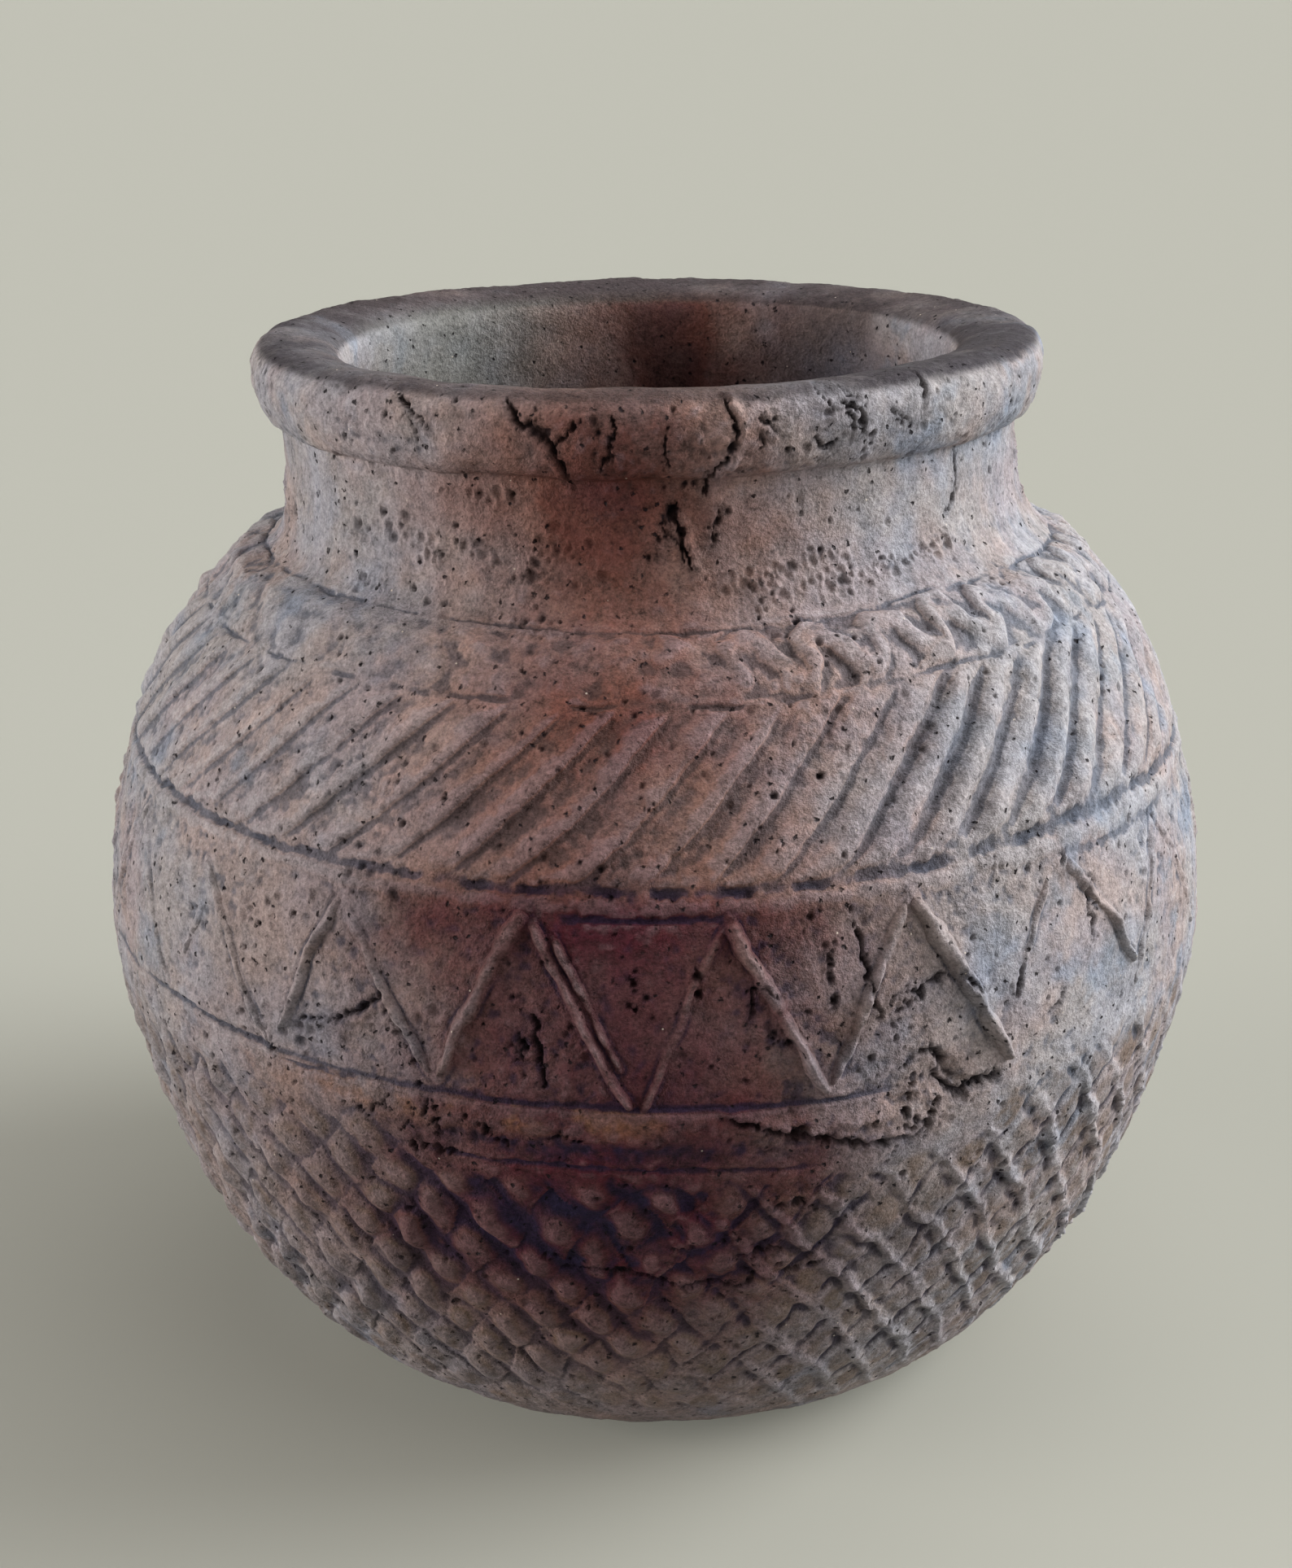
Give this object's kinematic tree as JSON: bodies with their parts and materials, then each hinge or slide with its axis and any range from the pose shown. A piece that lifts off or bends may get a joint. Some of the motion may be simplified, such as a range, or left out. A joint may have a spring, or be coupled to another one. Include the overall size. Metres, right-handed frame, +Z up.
{
  "type": "ceramic pot",
  "caption": "Round-bellied hand-built earthenware jar with a rolled rim, short neck, stamped collar, leaning ribs, zigzag band and net-marked lower body; holds water, grain or food.",
  "frame": {"origin": "centre of the flat foot, on the surface that the jar stands on", "axes": "+Z up along the jar's axis; -Y faces the picture's viewer, +X to their right"},
  "size_m": [0.2225, 0.2222, 0.2],
  "materials": {
    "wall_clay": "matte, unglazed, pitted",
    "applied_clay": "matte, unglazed, worn"
  },
  "bodies": {
    "root": {"base_pat": "wall_clay", "lower_net_course": "wall_clay", "upper_net_course": "wall_clay", "plain_band_course": "wall_clay", "zigzag_course": "wall_clay", "shoulder_course": "wall_clay", "neck_course": "wall_clay", "rim_roll": "wall_clay", "collar_strip": "applied_clay", "zigzag_rise_01": "applied_clay", "zigzag_fall_01": "applied_clay", "zigzag_rise_02": "applied_clay", "zigzag_fall_02": "applied_clay", "zigzag_rise_03": "applied_clay", "zigzag_fall_03": "applied_clay", "zigzag_rise_04": "applied_clay", "zigzag_fall_04": "applied_clay", "zigzag_rise_05": "applied_clay", "zigzag_fall_05": "applied_clay", "zigzag_rise_06": "applied_clay", "zigzag_fall_06": "applied_clay", "zigzag_rise_07": "applied_clay", "zigzag_fall_07": "applied_clay", "zigzag_rise_08": "applied_clay", "zigzag_fall_08": "applied_clay", "zigzag_rise_09": "applied_clay", "zigzag_fall_09": "applied_clay", "zigzag_rise_10": "applied_clay", "zigzag_fall_10": "applied_clay", "zigzag_rise_11": "applied_clay", "zigzag_fall_11": "applied_clay", "zigzag_rise_12": "applied_clay", "zigzag_fall_12": "applied_clay", "zigzag_rise_13": "applied_clay", "zigzag_fall_13": "applied_clay", "zigzag_rise_14": "applied_clay", "zigzag_fall_14": "applied_clay", "zigzag_rise_15": "applied_clay", "zigzag_fall_15": "applied_clay", "zigzag_rise_16": "applied_clay", "zigzag_fall_16": "applied_clay", "zigzag_rise_17": "applied_clay", "zigzag_fall_17": "applied_clay", "zigzag_rise_18": "applied_clay", "zigzag_fall_18": "applied_clay", "zigzag_rise_19": "applied_clay", "zigzag_fall_19": "applied_clay", "zigzag_rise_20": "applied_clay", "zigzag_fall_20": "applied_clay", "zigzag_rise_21": "applied_clay", "zigzag_fall_21": "applied_clay", "zigzag_doubled_roll": "applied_clay"}
  },
  "joints": []
}
